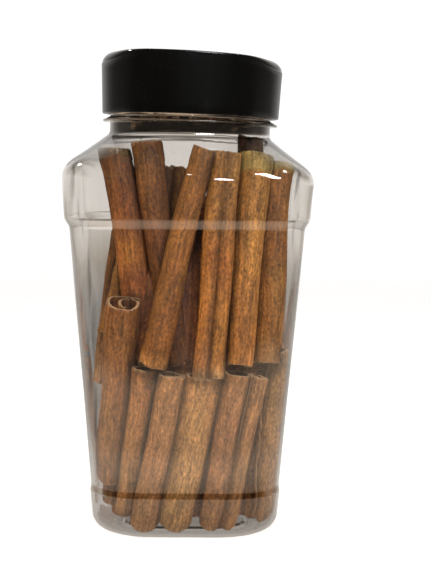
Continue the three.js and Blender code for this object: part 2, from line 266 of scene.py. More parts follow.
def square_angles():
    """Directions round the jar, close together at its corners."""
    arc = 20
    reach = BAND_HALF - BAND_CORNER
    first = np.arctan2(reach * np.array([0, 0.2, 0.4, 0.6, 0.8, 0.98]), BAND_HALF)
    a = np.pi / 2 * np.arange(arc + 1) / arc
    corner = np.arctan2(reach + BAND_CORNER * np.sin(a), reach + BAND_CORNER * np.cos(a))
    last = np.pi / 2 - first[::-1][:-1]
    quarter = np.concatenate([first, corner, last])
    return np.concatenate([quarter + k * np.pi / 2 for k in range(4)])


def square_reach(angle, half, corner):
    """How far a square of a half width with round corners reaches in a direction."""
    local = np.abs((angle + np.pi / 4) % (np.pi / 2) - np.pi / 4)
    straight = half - corner
    on_flat = half / np.cos(local)
    inside = straight * (np.cos(local) + np.sin(local))
    on_arc = inside + np.sqrt(np.maximum(inside**2 - 2 * straight**2 + corner**2, 0))
    return np.where(half * np.tan(local) <= straight, on_flat, on_arc)


def jar_rings(outline, angles):
    rings = []
    for radius, z in outline:
        corner = float(corner_share(z)) * radius
        reach = square_reach(angles, radius, corner)
        ring = np.stack([reach * np.cos(angles), reach * np.sin(angles), np.full_like(angles, z)], axis=-1)
        rings.append(ring)
    return np.array(rings)


def jar_outline():
    """The section of the jar, outside and inside, each from the middle of the bottom upward."""
    outer = filleted([
        (0, RECESS_Z),
        (RECESS_RADIUS, RECESS_Z, 2.0, 4),
        (RING_RADIUS, 0, 0.8, 4),
        *BODY,
        (NECK_RADIUS, FLANGE_Z, 0.3, 3),
        (FLANGE_RADIUS, FLANGE_Z, 0.25, 3),
        (FLANGE_RADIUS, FLANGE_Z + 0.7, 0.25, 3),
        (NECK_RADIUS, FLANGE_Z + 2.0, 0.5, 3),
        (NECK_RADIUS, MOUTH_Z, 0.3, 2),
        (NECK_RADIUS - WALL, MOUTH_Z),
    ])
    corners = offset([(0, 0), *BODY, (NECK_RADIUS, MOUTH_Z)], WALL)
    corners[0] = (0, RECESS_Z + WALL)
    corners[1:1] = [(RECESS_RADIUS, RECESS_Z + WALL, 2.0, 4), (RING_RADIUS, WALL, 0.8, 4)]
    inner = filleted(corners)
    inner[-1] = (inner[-1][0], MOUTH_Z)
    return outer, inner[:-1]


def make_jar(material):
    outer, inner = jar_outline()
    angles = square_angles()
    outer_rings = jar_rings(divided(outer, 3.5)[1:], angles)
    inner_rings = jar_rings(divided(inner, 3.5)[1:][::-1], angles)
    rings = np.concatenate([outer_rings, inner_rings])
    spokes = rings / np.maximum(np.linalg.norm(rings[..., :2], axis=-1, keepdims=True), 1e-6)
    spokes[..., 2] = 0
    turn = np.arctan2(rings[..., 1], rings[..., 0])
    z = rings[..., 2]
    # The blown wall isn't even: it waves gently, more inside than outside.
    wave = (
        0.5 * np.sin(3 * turn + 0.055 * z + 0.6)
        + 0.35 * np.sin(7 * turn - 0.09 * z + 1.1)
        + 0.3 * np.sin(11 * turn + 0.17 * z + 4.0)
        + 0.3 * np.sin(0.21 * z + 2 * turn)
    )
    on_wall = smoothstep(z, 9, 22) * (1 - smoothstep(z, 130, 142))
    depth = np.full(len(rings), 0.02)
    depth[len(outer_rings):] = 0.12
    rings = rings + spokes * ((wave - 1.45) * on_wall * depth[:, None])[..., None]
    built = Builder()
    count, columns = rings.shape[:2]
    built.add(rings.reshape(-1, 3), grid_faces(count, columns, closed=True))
    for row, height in ((0, outer[0][1]), (count - 1, inner[0][1])):
        rim = row * columns + np.arange(columns)
        after = np.roll(rim, -1)
        pole = np.full(columns, count * columns + (row > 0))
        fan = [after, rim, pole, after] if row == 0 else [rim, after, pole, rim]
        built.faces.append(np.stack(fan, axis=-1))
        built.points.append(np.array([[0, 0, height]]))
        built.count += 1
    piece(built.object("jar_shell", material), "jar")


# ---------------- The cap ----------------

CAP_FOOT_Z = 151.2
CAP_TOP_Z = 173.0
CAP_FOOT_RADIUS = 32.5
CAP_RADIUS = 33.3
RIM_WIDTH = 5.2
RIM_HEIGHT = 4.3
LID_SLOPE = 0.02
LIP_HALF_ANGLE = math.radians(34)
LIP_RIM = 0.6
RIM_STEP = 0.12


def make_cap(material):
    angles = np.arange(144) * TAU / 144
    from_front = np.abs((angles + math.pi / 2 + math.pi) % TAU - math.pi)
    # Over the front, where the wall runs up to the lid's edge, the rim is narrow.
    grown = smoothstep(from_front, LIP_HALF_ANGLE - 0.14, LIP_HALF_ANGLE + 0.62)
    width = LIP_RIM + (RIM_WIDTH - LIP_RIM) * grown
    height = LIP_RIM + (RIM_HEIGHT - LIP_RIM) * grown
    rows = []
    gloss = []

    def row(radius, z, shine=0.0):
        rows.append((np.broadcast_to(radius, angles.shape), np.broadcast_to(z, angles.shape)))
        gloss.append(np.broadcast_to(shine, angles.shape))

    inner_radius, inner_top = NECK_RADIUS + 0.5, MOUTH_Z + 0.5
    for radius in (0.01, 10, 20, inner_radius - 0.5):
        row(radius, inner_top)
    for z in (inner_top - 0.5, 162, CAP_FOOT_Z + 0.3):
        row(inner_radius, z)
    room_rows = len(rows)
    row(inner_radius + 0.3, CAP_FOOT_Z)
    row(CAP_FOOT_RADIUS - 0.35, CAP_FOOT_Z)
    row(CAP_FOOT_RADIUS - 0.1, CAP_FOOT_Z + 0.1)
    row(CAP_FOOT_RADIUS, CAP_FOOT_Z + 0.35)
    for k in range(1, 8):
        share = k / 8
        z = CAP_FOOT_Z + (CAP_TOP_Z - height - CAP_FOOT_Z) * share
        row(CAP_FOOT_RADIUS + (CAP_RADIUS - CAP_FOOT_RADIUS) * share, z)
    row(CAP_RADIUS, CAP_TOP_Z - height)
    shiny = np.minimum(4 * grown, 1)
    # A fine step parts the satin wall from the polished rim.
    step = RIM_STEP * shiny
    row(CAP_RADIUS - step, CAP_TOP_Z - height + 0.05, shiny)
    for k in range(1, 11):
        angle = math.pi / 2 * k / 10
        row(
            CAP_RADIUS - step - (width - step) * (1 - math.cos(angle)),
            CAP_TOP_Z - height * (1 - math.sin(angle)),
            shiny,
        )
    row(CAP_RADIUS - width - 0.4, CAP_TOP_Z, shiny * 0.5)
    for radius in (26, 20, 13, 6, 0.01):
        row(radius, CAP_TOP_Z)
    points = np.array([
        np.stack([radius * np.cos(angles), radius * np.sin(angles), z], axis=-1)
        for radius, z in rows
    ])
    # The lid's top slopes down a little to the right. The room for the neck doesn't.
    outside = points[room_rows:]
    outside[..., 2] -= LID_SLOPE * outside[..., 0] * (outside[..., 2] - CAP_FOOT_Z) / (CAP_TOP_Z - CAP_FOOT_Z)
    built = Builder()
    built.add(points, grid_faces(len(rows), len(angles), closed=True), gloss=np.array(gloss).ravel())
    piece(built.object("cap_shell", material), "cap")


# ---------------- The sticks' places: the lists and rules of the solids ----------------

# Five front sticks are moved or resized a little against the solids. Besides its place, each has its own
# look: how it is turned, the colours of its foot, middle and head, the stains on it (place along, angle,
# half length, half angle, colour, strength), one of which is painted shadow, the colour and length of a
# painted reflection over its tip, how many turns it is rolled and which way, and how its ends and its
# edge are torn and worn.
FRONT_UPPER = [
    dict(foot=[-21.7, -17.8, 64.0], head=[-27.5, -16.5, 138.0], radii=[5.4, 5.7], bow=5.2, bow_place=0.68,
         turn=1.2, hues=[(128, 78, 44), (154, 96, 52), (100, 60, 32)], tip_reflection=(98, 84, 52), tip_reflection_length=3.4,
         twist=0.5, wrinkle=1.0, patches=[
             (0.50, -1.35, 5.5, 0.65, (190, 128, 58), 0.7), (0.36, -1.45, 5.0, 0.9, (160, 92, 50), 0.6),
             (0.17, -1.2, 6.0, 0.8, (122, 70, 38), 0.6), (0.72, -1.6, 7.0, 0.8, (138, 78, 40), 0.5),
             (0.88, -1.5, 3.0, 1.3, (92, 66, 40), 0.6),
         ]),
    dict(foot=[-28.7, -14.0, 71.5], head=[-15.3, -8.5, 126.0], radii=[4.4, 4.4], turn=1.2,
         hues=[(146, 104, 56), (136, 94, 54), (120, 80, 46)], ragged=[1.0, 0.4]),
    dict(foot=[-32.2, -5.5, 52.5], head=[-24.2, -7.0, 112.0], radii=[3.9, 4.2], turn=1.2,
         hues=[(148, 112, 88), (124, 86, 58), (110, 74, 46)], ragged=[1.0, 0.4]),
    dict(foot=[-3.1, -22.0, 61.5], head=[-15.8, -18.5, 140.8], radii=[4.8, 5.5], turn=1.0,
         hues=[(108, 68, 38), (114, 71, 38), (122, 80, 46)], patches=[
             (0.93, -1.6, 3.0, 1.6, (96, 68, 42), 0.6), (0.80, -1.4, 7.0, 0.7, (136, 92, 52), 0.5),
         ]),
    dict(foot=[-16.5, -14.5, 64.0], head=[-9.6, -14.5, 133.2], radii=[4.2, 4.4], turn=1.0,
         hues=[(90, 56, 30), (102, 64, 36), (98, 66, 38)], ragged=[0.5, 1.0]),
    dict(foot=[-3.0, -12.5, 68.0], head=[-2.1, -11.5, 133.0], radii=[4.8, 4.8], turn=1.0,
         hues=[(126, 86, 48), (114, 76, 44), (96, 66, 42)], ragged=[0.5, 2.2]),
    dict(foot=[-12.5, -33.0, 61.6], head=[5.0, -25.0, 138.8], radii=[5.2, 4.1], turn=0.8,
         hues=[(130, 86, 45), (142, 94, 50), (142, 98, 54)], ragged=[1.6, 0.4], fray=1.0, patches=[
             (0.60, -1.9, 9.0, 0.5, (174, 118, 62), 0.5), (0.42, -1.4, 8.0, 0.6, (138, 86, 48), 0.5),
             (0.22, -1.7, 8.0, 0.6, (166, 112, 62), 0.5), (0.80, -1.2, 8.0, 0.6, (132, 88, 48), 0.5),
             # The last stain is painted shadow: the head darkens on the side towards the next stick.
             (0.30, -1.2, 3.0, 0.5, (112, 70, 40), 0.6), (0.92, -0.6, 9.0, 0.7, (84, 54, 32), 0.7),
         ]),
    dict(foot=[4.9, -33.0, 58.1], head=[11.1, -24.5, 138.0], radii=[2.9, 3.6], turn=0.6,
         hues=[(170, 111, 57), (188, 124, 63), (154, 110, 62)], pale_foot=1.0, wrinkle=0.8, patches=[
             (0.52, -1.5, 8.0, 0.9, (172, 104, 54), 0.6), (0.75, -1.5, 8.0, 0.9, (140, 98, 54), 0.6),
         ]),
    dict(foot=[10.5, -33.0, 58.2], head=[14.8, -24.0, 137.5], radii=[3.2, 3.7], turn=2.4,
         hues=[(178, 120, 62), (172, 114, 58), (166, 124, 76)], pale_foot=1.0, patches=[
             (0.48, -1.6, 9.0, 0.9, (160, 96, 50), 0.6), (0.78, -1.4, 7.0, 0.9, (140, 96, 50), 0.6),
             (0.86, -1.15, 6.0, 0.14, (70, 44, 26), 0.8),
         ]),
    dict(foot=[18.1, -31.0, 62.7], head=[24.0, -15.5, 137.5], radii=[4.7, 6.0], bow=0.4, turn=1.4,
         hues=[(170, 114, 60), (172, 120, 66), (164, 118, 64)], tip_reflection=(162, 148, 100), tip_reflection_length=6.2,
         ragged=[0.25, 0.3], patches=[
             (0.66, -2.3, 14.0, 0.4, (132, 88, 54), 0.6), (0.55, -1.2, 12.0, 0.5, (184, 130, 68), 0.5),
         ]),
    dict(foot=[28.7, -23.5, 62.5], head=[33.3, -9.0, 134.5], radii=[5.1, 5.1], turn=1.4,
         hues=[(162, 116, 66), (136, 90, 47), (126, 86, 46)], tip_reflection=(156, 146, 98), tip_reflection_length=3.4,
         ragged=[0.25, 0.3], patches=[
             (0.70, -1.8, 8.0, 0.6, (114, 74, 40), 0.6), (0.38, -1.3, 9.0, 0.5, (172, 126, 70), 0.6),
         ]),
    dict(foot=[19.5, -4.5, 84.0], head=[22.4, -3.0, 144.2], radii=[4.7, 4.7], turn=1.0,
         hues=[(96, 64, 42), (92, 62, 40), (82, 60, 44)], ragged=[0.5, 0.8]),
]
FRONT_LOWER = [
    dict(foot=[-26.9, -14.5, 9.5], head=[-25.0, -13.5, 50.0], radii=[4.0, 4.2], turn=1.2, round_foot=2.0,
         hues=[(140, 102, 70), (120, 82, 52), (104, 68, 42)]),
    dict(foot=[-27.1, -22.3, 19.0], head=[-22.1, -28.5, 84.5], radii=[5.1, 6.1], turn=0.63, round_foot=2.4,
         hues=[(118, 78, 46), (136, 88, 48), (140, 88, 46)], way=-1, turns=1.7, curl=0, scroll=1.5, dip=3.0,
         patches=[
             (0.55, -1.5, 6.0, 0.8, (128, 78, 40), 0.6), (0.82, -1.5, 6.0, 1.0, (150, 102, 58), 0.5),
             (0.30, -1.6, 9.0, 0.7, (158, 110, 64), 0.5),
         ]),
    dict(foot=[-22.1, -24.0, 8.0], head=[-15.2, -30.5, 61.5], radii=[3.4, 4.2], turn=1.2, round_foot=1.6,
         hues=[(144, 104, 66), (154, 106, 62), (158, 104, 58)]),
    dict(foot=[-15.4, -25.6, 3.2], head=[-4.9, -31.0, 59.3], radii=[5.1, 4.9], turn=1.0, round_foot=2.2,
         hues=[(138, 98, 62), (156, 108, 68), (164, 114, 70)]),
    dict(foot=[-4.5, -24.7, 3.2], head=[6.5, -30.0, 59.0], radii=[6.0, 6.6], turn=1.8, round_foot=2.4,
         hues=[(140, 102, 64), (174, 128, 78), (168, 116, 70)]),
    dict(foot=[9.2, -26.0, 3.2], head=[18.2, -30.5, 60.0], radii=[4.5, 5.2], turn=-0.42, round_foot=2.2,
         hues=[(130, 90, 56), (144, 98, 62), (150, 102, 64)], way=-1, jagged=0.6),
    dict(foot=[14.6, -26.5, 3.2], head=[25.4, -29.0, 58.8], radii=[2.8, 3.3], turn=1.2, round_foot=1.4,
         hues=[(142, 100, 62), (154, 108, 66), (158, 110, 68)]),
    dict(foot=[29.6, -15.5, 3.4], head=[33.4, -21.5, 66.5], radii=[3.7, 4.1], turn=3.75, slant=-0.9,
         hues=[(136, 96, 60), (148, 106, 64), (150, 112, 70)], ragged=[1.2, 2.4], jagged=0.9,
         turns=1.2, round_foot=2.0),
]


def random_source(seed):
    state = [seed]

    def draw():
        state[0] = state[0] * 16807 % 2147483647
        return state[0] / 2147483647

    return draw


def row_of_quills(draw, begin, end, count, foot_z, head_z, gather, lean):
    begin, end = np.array(begin), np.array(end)
    along = (end - begin) / np.linalg.norm(end - begin)
    pitch = np.linalg.norm(end - begin) / (count - 1)
    quills = []
    for k in range(count):
        foot = begin + (end - begin) * k / (count - 1)
        head = foot * gather + along * (lean + 2 * draw() - 1)
        lift = 6 * draw() - 3
        quills.append(dict(
            foot=[foot[0], foot[1], foot_z + max(lift, 0)],
            head=[head[0], head[1], head_z + lift],
            radii=[
                min(room * (0.46 + 0.06 * draw()), widest)
                for room, widest in ((pitch, 5.6), (pitch * gather, 5.4))
            ],
            turn=TAU * draw(),
            bow=1.6 * draw() - 0.8,
            slant=0.5 * draw() - 0.25,
        ))
    return quills


def other_quills():
    draw = random_source(20261)
    lower = dict(foot_z=3.0, head_z=60.0, gather=1.12)
    upper = dict(foot_z=61.0, head_z=120.0, gather=0.76)
    low = [
        *row_of_quills(draw, [25.9, -6.5], [25.9, 16.8], 3, lean=2.5, **lower),
        *row_of_quills(draw, [20.5, 25.8], [-20.0, 25.8], 5, lean=2.0, **lower),
        *row_of_quills(draw, [-24.5, 17.6], [-22.0, -4.0], 3, lean=-1.5, **lower),
    ]
    high = [
        *row_of_quills(draw, [31.0, -13.5], [31.0, 20.0], 4, lean=4.0, **upper),
        *row_of_quills(draw, [25.0, 31.0], [-22.0, 31.0], 5, lean=-3.0, **upper),
        *row_of_quills(draw, [-27.5, 22.0], [-27.5, 6.0], 2, lean=-2.0, **upper),
        *row_of_quills(draw, [-13.0, -5.0], [6.0, -4.0], 2, lean=1.0, **upper),
        *row_of_quills(draw, [-12.0, 12.0], [16.0, 12.0], 3, lean=-1.0, **upper),
    ]
    return low, high


# ---------------- One stick: a strip of bark rolled up ----------------

def linear(colour):
    """A colour of 0 to 255 as linear light."""
    c = np.asarray(colour, float) / 255
    return np.where(c <= 0.04045, c / 12.92, ((c + 0.055) / 1.055) ** 2.4)


# The bark's own colour against what is seen of it through the jar, which adds its haze to it.
UPPER_GAIN = np.array([0.88, 0.80, 0.57])
LOWER_GAIN = np.array([0.95, 0.94, 0.86])
UPPER_TIER_Z = 50.0
# The gap between two turns of the roll, how far from an end its cut shapes the stick, how light a
# stick stays where another one touches it, and how light its inside is.
ROLL_GAP = 0.18
CUT_REACH = 9.0
TOUCH_SHADE = 0.42
INSIDE_SHADE = 0.6
# Rows of points stand close together near an end, at these distances from it.
END_ROWS = np.array([0, 0.25, 0.8, 1.8, 3.2, 5.0])


def inner_half(z):
    """The half width of the room inside the jar at a height."""
    heights = [0, 1, 2, 3, 5, 7, 15.2, 17.4, 111.2, 114.2, 127.3, 131.5, 134.2, 143.3, 145.6, 165]
    halves = [25.5, 29.1, 30.4, 31.3, 32.4, 33.0, 33.7, 33.4, 40.7, 42.3, 43.4, 42.2, 39.5, 28.9, 28.5, 28.5]
    return np.interp(z, heights, halves)


def keep_inside(points, radius, clearance):
    """Moves points sideways until a circle of that radius round each is inside the jar."""
    room = inner_half(points[..., 2])
    half = np.maximum(room - radius - clearance, 1.0)
    corner = np.clip(corner_share(points[..., 2]) * room - radius - clearance, 0.5, half)
    moved = points.copy()
    moved[..., :2] = np.clip(points[..., :2], -half[..., None], half[..., None])
    straight = half - corner
    over = np.maximum(np.abs(moved[..., :2]) - straight[..., None], 0)
    length = np.linalg.norm(over, axis=-1)
    shrink = np.where(length > corner, corner / np.maximum(length, 1e-9), 1.0)
    in_corner = (over[..., 0] > 0) & (over[..., 1] > 0)
    signs = np.sign(moved[..., :2])
    cornered = signs * (straight[..., None] + over * shrink[..., None])
    moved[..., :2] = np.where(in_corner[..., None], cornered, moved[..., :2])
    return moved


def bumps(rng, around, along, terms):
    """A smooth random surface of a direction round a stick and a distance along it."""
    total = np.zeros(np.broadcast(around, along).shape)
    for waves, pace, height in terms:
        phase, slope = rng.uniform(0, TAU), rng.uniform(-1, 1) * pace
        total = total + height * np.sin(waves * around + slope * along + phase) * (
            0.6 + 0.4 * np.sin(along * pace * rng.uniform(0.4, 1.1) + rng.uniform(0, TAU))
        )
    return total


def ragged_line(rng, length, sizes):
    """A random jagged line: a function of the distance along it."""
    layers = []
    for size, height in sizes:
        count = max(int(length / size) + 3, 4)
        layers.append((size, rng.uniform(-height, height, count)))

    def at(x):
        total = np.zeros_like(x)
        for size, heights in layers:
            total += np.interp(x / size, np.arange(len(heights)), heights)
        return total

    return at


def shade_between(points, spec, others):
    """How dark each point is for the sticks close to it, down from 1 in the open."""
    shade = np.ones(points.shape[:2])
    for other in others:
        if other is spec:
            continue
        start, end = np.array(other["foot"], float), np.array(other["head"], float)
        along = end - start
        share = (points - start) @ along / (along @ along)
        inside = np.clip(share, 0, 1)
        radius = other["radii"][0] + (other["radii"][1] - other["radii"][0]) * inside
        bow = other.get("bow", 0) * np.sin(np.pi * inside ** other.get("bow_place", 1.0))
        centre = start + inside[..., None] * along
        centre[..., 0] += bow
        beyond = np.maximum(np.abs(share - inside) * np.linalg.norm(along) - 1.0, 0)
        gap = np.linalg.norm((points - centre)[..., :2], axis=-1) - radius + beyond
        shade = np.minimum(shade, TOUCH_SHADE + (1 - TOUCH_SHADE) * smoothstep(gap, -0.2, 3.2))
    return shade


def bark_relief(rng, spec, facing, along, length, middle_radius):
    """How far lumps, ridges along the bark, knots and wrinkles stand out of a stick."""
    lumps = bumps(rng, facing, along, [
        (2, 0.03, 0.045), (3, 0.05, 0.022), (4, 0.06, 0.012), (5, 0.08, 0.010), (7, 0.07, 0.007),
    ]) * middle_radius
    ridges = bumps(rng, facing, along, [
        (11, 0.10, 0.05), (17, 0.16, 0.045), (26, 0.22, 0.035), (37, 0.4, 0.02),
    ])
    knots = bumps(rng, facing, along, [(1, 0.45, 0.05), (2, 0.7, 0.04)])
    share = along / length
    in_bend = smoothstep(share, 0.18, 0.34) * (1 - smoothstep(share, 0.42, 0.6))
    wrinkle = spec.get("wrinkle", 0) * 0.16 * np.sin(along * 2.3 + 2.0 * np.sin(facing)) * in_bend
    return lumps + ridges + knots + wrinkle


def bark_colours(rng, spec, facing, along, length):
    """The colour of the bark at each point of a stick, before its neighbours shade it."""
    hues = spec.get("hues")
    if hues is None:
        base = np.array([150, 100, 60]) * rng.uniform(0.82, 1.08)
        base = base + rng.uniform(-8, 8) * np.array([1, -0.3, -0.6])
        hues = [base * rng.uniform(0.93, 1.07), base, base * rng.uniform(0.93, 1.07)]
    stops = [linear(h) for h in hues]
    mixed = np.stack([
        np.interp(along[:, 0], [0, length * 0.5, length], [stop[c] for stop in stops]) for c in range(3)
    ], axis=-1)
    mixed = np.broadcast_to(mixed[:, None, :], (*facing.shape, 3))

    def stain_and_painted_light(colour, share):
        return mixed * (1 - share[..., None]) + linear(colour) * share[..., None]

    # Over its tip the bark is painted olive: a painted reflection of the jar's shoulder.
    if "tip_reflection" in spec:
        reach = length - spec["tip_reflection_length"] + 0.5 * np.sin(3 * facing)
        mixed = stain_and_painted_light(spec["tip_reflection"], 0.8 * smoothstep(along, reach - 1.2, reach + 1.4))
    if spec.get("pale_foot"):
        mixed = stain_and_painted_light((186, 146, 108), 0.75 * (1 - smoothstep(along + 0.5 * np.sin(5 * facing), 2.4, 4.2)))
    if spec.get("fray"):
        mixed = stain_and_painted_light((206, 148, 88), 0.5 * (1 - smoothstep(along, 2.0, 7.0)))
    for place_along, angle, half_length, half_angle, colour, strength in spec.get("patches", ()):
        off_angle = (facing - angle + np.pi) % TAU - np.pi + 0.12 * np.sin(along * 1.3)
        off_along = along - place_along * length + 1.2 * np.sin(5 * facing)
        share = strength * np.exp(-(off_along / half_length) ** 2 - (off_angle / half_angle) ** 2)
        mixed = stain_and_painted_light(colour, share)
    return mixed


def add_sheet(built, outside, inside, grain, hue, rim, way):
    """Adds a rolled sheet of bark: its two sides and the four strips that close its edges."""
    faces = grid_faces(*rim.shape)
    hues = (hue, hue * INSIDE_SHADE)[::way]
    for side, its_faces, its_grain, its_hue in (
        (outside, faces, grain, hues[0]),
        (inside, faces[:, ::-1], grain + [0, 0, 7.7], hues[1]),
    ):
        its_values = dict(grain=its_grain.reshape(-1, 3), hue=its_hue.reshape(-1, 3), cut=rim.ravel())
        built.add(side, its_faces, **its_values)
    for one, other, edge, cut in (
        (inside, outside, np.s_[0], 1.0),
        (outside, inside, np.s_[-1], 1.0),
        (outside, inside, np.s_[:, 0], 0.3),
        (inside, outside, np.s_[:, -1], 0.3),
    ):
        count = len(one[edge])
        built.add(
            np.concatenate([one[edge], other[edge]]),
            grid_faces(2, count),
            grain=np.concatenate([grain[edge], grain[edge] + [0.9, 0, 3.3]]),
            hue=np.concatenate([hue[edge], hue[edge]]),
            cut=np.full(2 * count, cut),
        )


def add_quill(built, spec, seed, columns, rows, others):
    """Adds one stick: a strip of bark whose inner edge is rolled up and whose outer edge shows."""
    rng = np.random.default_rng(seed)
    start, end = Vector(spec["foot"]), Vector(spec["head"])
    radii = spec["radii"]
    length = (end - start).length
    axes = np.array(Vector((0, 0, 1)).rotation_difference(end - start).to_matrix())
    turns = spec.get("turns", rng.uniform(1.3, 1.6))
    way = spec.get("way", 1)
    bark = BARK * rng.uniform(0.9, 1.15)
    pitch = bark + ROLL_GAP
    ragged = spec.get("ragged", [rng.uniform(0.2, 0.5), rng.uniform(0.2, 0.5)])
    jagged = spec.get("jagged", 0.22)
    slant = spec.get("slant", rng.uniform(-0.12, 0.12))
    curl = spec.get("curl", rng.uniform(0.1, 0.3))
    twist = spec.get("twist", rng.uniform(-0.12, 0.12))

    ends = END_ROWS / length
    middle = np.linspace(7.0 / length, 1 - 7.0 / length, rows - 2 * len(ends))
    v = np.concatenate([ends, middle, 1 - ends[::-1]])[:, None]
    along = v * length
    middle_radius = (radii[0] + radii[1]) / 2
    sheet = TAU * turns * middle_radius
    edge = ragged_line(rng, length, [(9.0, jagged), (2.6, jagged * 0.7), (1.1, jagged * 0.45)])
    inner_edge = ragged_line(rng, length, [(12.0, 0.8), (3.0, 0.4)])
    u = np.linspace(0, 1, columns)[None, :]
    # back is the angle from the outer edge, back into the roll.
    outer_end = edge(along) / middle_radius
    inner_end = TAU * turns + inner_edge(along) / middle_radius
    back = outer_end + (inner_end - outer_end) * (1 - u)
    facing = spec["turn"] + twist * (v - 0.5) - way * back
    radius = radii[0] + (radii[1] - radii[0]) * v
    radius = radius * (1 + 0.025 * np.sin(TAU * v * rng.uniform(0.6, 1.6) + rng.uniform(0, TAU)))
    wraps = back / TAU
    inward = pitch * wraps + curl * middle_radius * np.maximum(wraps - 0.95, 0) ** 1.6
    inward = inward + spec.get("scroll", 0) * (1 - np.cos(TAU * np.clip(wraps - 0.9, 0, 1)))
    relief = bark_relief(rng, spec, facing, along, length, middle_radius)
    surface = np.maximum(radius + pitch / 2 - inward, 1.3) + relief
    # The bark thins to its two edges, and the outer edge lies close to the roll.
    from_edge = (back - outer_end) * middle_radius
    from_inner = (inner_end - back) * middle_radius
    thin = 1 - 0.45 * np.exp(-(from_edge / 0.9) ** 2) - 0.35 * np.exp(-(from_inner / 0.9) ** 2)
    outer = surface - 0.16 * np.exp(-(from_edge / 0.5) ** 2)
    near_foot = np.clip(1 - along / 0.5, 0, 1) ** 2
    near_head = np.clip(1 - (length - along) / 0.5, 0, 1) ** 2
    outer = outer - 0.16 * (near_foot + near_head)
    inner = np.maximum(outer - bark * thin, 0.25)

    # The ends are cut a little askew and frayed.
    foot_line, head_line = (
        ragged_line(rng, sheet * 1.2, [(5.0, 0.5 * tear), (1.7, 0.45 * tear), (0.7, 0.35 * tear)])
        for tear in ragged
    )
    across = (inner_end - back) * middle_radius
    foot_move = foot_line(across) + slant * radius * np.cos(facing)
    # Seen from the front, a worn foot is round.
    worn = spec.get("round_foot", 0) * (1 + np.sin(facing))
    head_move = head_line(across) - slant * radius * np.cos(facing)
    head_move = head_move + spec.get("dip", 0) * np.sin(facing) * 0.5 * surface / middle_radius
    weight_foot = np.clip(1 - along / CUT_REACH, 0, 1) ** 2
    weight_head = np.clip(1 - (length - along) / CUT_REACH, 0, 1) ** 2
    foot_lift = np.abs(foot_move) * 0.6 ** (worn > 0) + worn
    lift = foot_lift * weight_foot + np.minimum(head_move, 1.2) * weight_head
    height = along + lift

    # The middle line bows, wanders a little and stays inside the jar.
    bow = spec.get("bow", 0)
    wander = 0.25 * np.sin(TAU * v * 1.3 + rng.uniform(0, TAU))
    side = bow * np.sin(np.pi * v ** spec.get("bow_place", 1.0)) + wander
    line = np.array(start)[None, :] + (along * axes[:, 2][None, :]) + side * axes[:, 0][None, :]
    kept = keep_inside(line, np.maximum(radius[:, 0] + 0.1, 1.0), 0.15)
    shift = kept - line
    smooth = np.ones(5) / 5
    for axis in (0, 1):
        padded = np.pad(shift[:, axis], 2, mode="edge")
        shift[:, axis] = np.convolve(padded, smooth, mode="valid")
    line = line + shift

    def place(reach):
        local = np.stack([reach * np.cos(facing), reach * np.sin(facing), height - along], axis=-1)
        return keep_inside(line[:, None, :] + local @ axes.T, 0, 0.25)

    outside, inside = place(outer), place(inner)
    if way < 0:
        outside, inside = inside, outside
    shape = outside.shape[:2]
    grain = np.stack([
        np.broadcast_to(across, shape),
        np.broadcast_to(height, shape),
        np.full(shape, seed * 17.31 % 400),
    ], axis=-1)

    gain = UPPER_GAIN if start.z > UPPER_TIER_Z else LOWER_GAIN
    shade = shade_between(outside if way > 0 else inside, spec, others)
    mixed = bark_colours(rng, spec, facing, along, length) * gain * shade[..., None]
    rim = np.broadcast_to(np.maximum(near_foot, near_head) * 0.75, shape)
    add_sheet(built, outside, inside, grain, mixed, rim, way)


def make_sticks(material):
    low, high = other_quills()
    # Each group's sticks, how finely they are divided across and along, and their seed.
    groups = [
        ("sticks_upper_front", FRONT_UPPER, 84, 46, 100),
        ("sticks_lower_front", FRONT_LOWER, 84, 46, 200),
        ("sticks_upper_rest", high, 52, 34, 300),
        ("sticks_lower_rest", low, 52, 34, 400),
    ]
    others = FRONT_UPPER + FRONT_LOWER
    for name, quills, columns, rows, seed in groups:
        built = Builder()
        for k, spec in enumerate(quills):
            add_quill(built, spec, seed + k, columns, rows, others)
        piece(built.object(name, material), "cinnamon_sticks")


def make_core(material):
    """The sticks in the middle of the pack, which only show as dark shapes in the gaps."""
    outline = divided([
        (22.0, 6.0), (25.5, 60.0), (27.0, 64.0), (21.5, 94.0), (13.0, 104.0), (0.01, 105.0),
    ], 5)
    outline = [(0.01, 5.5)] + outline
    columns = 168
    angles = np.arange(columns) * TAU / columns
    rings = jar_rings(outline, angles)
    folds = np.abs(np.sin(7 * angles[None, :] + 0.012 * rings[..., 2]))
    rings[..., :2] *= (0.90 + 0.09 * folds)[..., None]
    rings[..., 0] += 1.5
    built = Builder()
    count = len(outline)
    grain = np.stack([
        np.broadcast_to(angles * 25, (count, columns)), rings[..., 2], np.full((count, columns), 51.0),
    ], axis=-1)
    # All of them one darker brown: painted shade of the inside of the pack.
    hue = np.broadcast_to(linear((112, 68, 40)), (count * columns, 3))
    built.add(rings, grid_faces(count, columns, closed=True), grain=grain.reshape(-1, 3), hue=hue,
              cut=np.zeros(count * columns))
    piece(built.object("sticks_core", material), "cinnamon_sticks")


# ---------------- Materials ----------------

